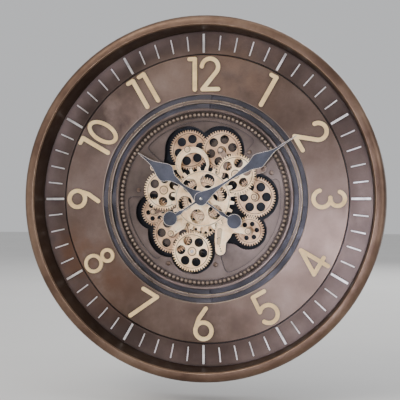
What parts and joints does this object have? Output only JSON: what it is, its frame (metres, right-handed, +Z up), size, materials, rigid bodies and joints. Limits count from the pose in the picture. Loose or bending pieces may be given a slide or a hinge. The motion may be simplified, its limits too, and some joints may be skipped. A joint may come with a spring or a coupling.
{
  "type": "wall clock",
  "caption": "Round wall clock with a deep rim, raised numerals, spade hands and an open centre of meshed turning gears.",
  "frame": {"origin": "on the clock's axis, in the plane of the wall that its back rests on", "axes": "+Z up, dial faces -Y, +X to the viewer's right"},
  "size_m": [0.54, 0.08, 0.54],
  "materials": {
    "rim_bronze": "brushed bronze paint",
    "dial_bronze": "mottled bronze patina",
    "slate": "satin slate",
    "numeral_cream": "matt cream gold",
    "marker_silver": "satin silver",
    "gear_gold": "pale gold",
    "gear_tan": "pale rose gold",
    "bridge_gold": "pale gold",
    "screw_bronze": "aged bronze",
    "steel": "turned steel",
    "polished": "polished",
    "brass": "turned brass",
    "hand_slate": "matt slate",
    "black_plastic": "moulded black",
    "panel_black": "fibreboard painted matt black",
    "cell": "plain label-free sleeve",
    "rubber": "soft",
    "grey_plastic": "moulded grey"
  },
  "bodies": {
    "case": {"back_panel": "panel_black", "batteries": "cell", "bead_ring": "dial_bronze", "case_rim": "rim_bronze", "centre_bush": "brass", "dial_base": "slate", "dial_ring": "dial_bronze", "dress_screws": "screw_bronze", "drive_motor": "steel", "drive_unit": "black_plastic", "front_strap": "gear_tan", "gear_box": "black_plastic", "gear_plate": "dial_bronze", "gear_studs": "steel", "hour_markers": "marker_silver", "left_cock": "gear_tan", "lower_left_cock": "bridge_gold", "middle_ring": "dial_bronze", "minute_markers": "marker_silver", "minute_track": "dial_bronze", "movement_housing": "black_plastic", "numeral_1": "numeral_cream", "numeral_10": "numeral_cream", "numeral_11": "numeral_cream", "numeral_12": "numeral_cream", "numeral_2": "numeral_cream", "numeral_3": "numeral_cream", "numeral_4": "numeral_cream", "numeral_5": "numeral_cream", "numeral_6": "numeral_cream", "numeral_7": "numeral_cream", "numeral_8": "numeral_cream", "numeral_9": "numeral_cream", "rear_screws": "steel", "right_cock": "bridge_gold", "ring_bridge": "bridge_gold", "upper_right_cock": "gear_tan", "wall_bumpers": "rubber", "y_bridge": "bridge_gold"},
    "gear_1": {"gear_1": "gear_tan"},
    "gear_2": {"gear_2": "gear_tan"},
    "gear_3": {"gear_3": "gear_gold"},
    "gear_4": {"gear_4": "gear_tan"},
    "gear_5": {"gear_5": "gear_tan"},
    "gear_6": {"gear_6": "gear_gold"},
    "gear_7": {"gear_7": "gear_tan"},
    "gear_8": {"gear_8": "gear_tan"},
    "gear_9": {"gear_9": "gear_gold", "motor_shaft": "steel"},
    "gear_10": {"gear_10": "gear_gold"},
    "centre_train": {"centre_gear": "gear_gold", "display_wheel": "gear_gold"},
    "hour": {"hour_hand": "hand_slate", "hour_tube": "brass"},
    "minute": {"minute_hand": "hand_slate", "minute_arbor": "polished"},
    "knob": {"set_knob": "grey_plastic"},
    "switch": {"switch_slider": "grey_plastic"}
  },
  "joints": [
    {"name": "centre_spin", "type": "hinge", "parent": "case", "child": "centre_train", "pos_m": [0, -0.0495, 0], "axis": [0, -1, 0], "continuous": true},
    {"name": "gear_1_spin", "type": "hinge", "parent": "case", "child": "gear_1", "pos_m": [-0.02462, -0.03, 0.07432], "axis": [0, -1, 0], "continuous": true},
    {"name": "gear_2_spin", "type": "hinge", "parent": "case", "child": "gear_2", "pos_m": [0.02558, -0.03, 0.07283], "axis": [0, -1, 0], "continuous": true},
    {"name": "gear_3_spin", "type": "hinge", "parent": "case", "child": "gear_3", "pos_m": [0.04934, -0.03, 0.03651], "axis": [0, -1, 0], "continuous": true},
    {"name": "gear_4_spin", "type": "hinge", "parent": "case", "child": "gear_4", "pos_m": [0.07654, -0.03, 0.00269], "axis": [0, -1, 0], "continuous": true},
    {"name": "gear_5_spin", "type": "hinge", "parent": "case", "child": "gear_5", "pos_m": [0.06778, -0.03, -0.04802], "axis": [0, -1, 0], "continuous": true},
    {"name": "gear_6_spin", "type": "hinge", "parent": "case", "child": "gear_6", "pos_m": [-0.05995, -0.03, 0.01318], "axis": [0, -1, 0], "continuous": true},
    {"name": "gear_7_spin", "type": "hinge", "parent": "case", "child": "gear_7", "pos_m": [-0.07764, -0.03, -0.01954], "axis": [0, -1, 0], "continuous": true},
    {"name": "gear_8_spin", "type": "hinge", "parent": "case", "child": "gear_8", "pos_m": [-0.05014, -0.03, -0.05231], "axis": [0, -1, 0], "continuous": true},
    {"name": "gear_9_spin", "type": "hinge", "parent": "case", "child": "gear_9", "pos_m": [-0.01652, -0.03, -0.07877], "axis": [0, -1, 0], "continuous": true},
    {"name": "gear_10_spin", "type": "hinge", "parent": "case", "child": "gear_10", "pos_m": [-0.00099, -0.03, -0.03533], "axis": [0, -1, 0], "continuous": true},
    {"name": "minute_spin", "type": "hinge", "parent": "case", "child": "minute", "pos_m": [0, -0.0618, 0], "axis": [0, 1, 0], "continuous": true},
    {"name": "hour_spin", "type": "hinge", "parent": "case", "child": "hour", "pos_m": [0, -0.0588, 0], "axis": [0, 1, 0], "continuous": true},
    {"name": "knob_spin", "type": "hinge", "parent": "case", "child": "knob", "pos_m": [0.014, -0.0025, 0.015], "axis": [0, 1, 0], "continuous": true},
    {"name": "switch_slide", "type": "slide", "parent": "case", "child": "switch", "axis": [1, 0, 0], "range_m": [0, 0.0048]}
  ],
  "couplings": [
    {"joint": "gear_1_spin", "follows": "centre_spin", "ratio": -0.3348},
    {"joint": "gear_2_spin", "follows": "centre_spin", "ratio": 0.48698},
    {"joint": "gear_3_spin", "follows": "centre_spin", "ratio": -1.0625},
    {"joint": "gear_4_spin", "follows": "centre_spin", "ratio": 0.48698},
    {"joint": "gear_5_spin", "follows": "centre_spin", "ratio": -0.66786},
    {"joint": "gear_6_spin", "follows": "centre_spin", "ratio": -1.0625},
    {"joint": "gear_7_spin", "follows": "centre_spin", "ratio": 0.8125},
    {"joint": "gear_8_spin", "follows": "centre_spin", "ratio": -0.78929},
    {"joint": "gear_9_spin", "follows": "centre_spin", "ratio": 1.8041},
    {"joint": "gear_10_spin", "follows": "centre_spin", "ratio": -0.67647},
    {"joint": "hour_spin", "follows": "minute_spin", "ratio": 0.083333},
    {"joint": "knob_spin", "follows": "minute_spin", "ratio": -2}
  ]
}
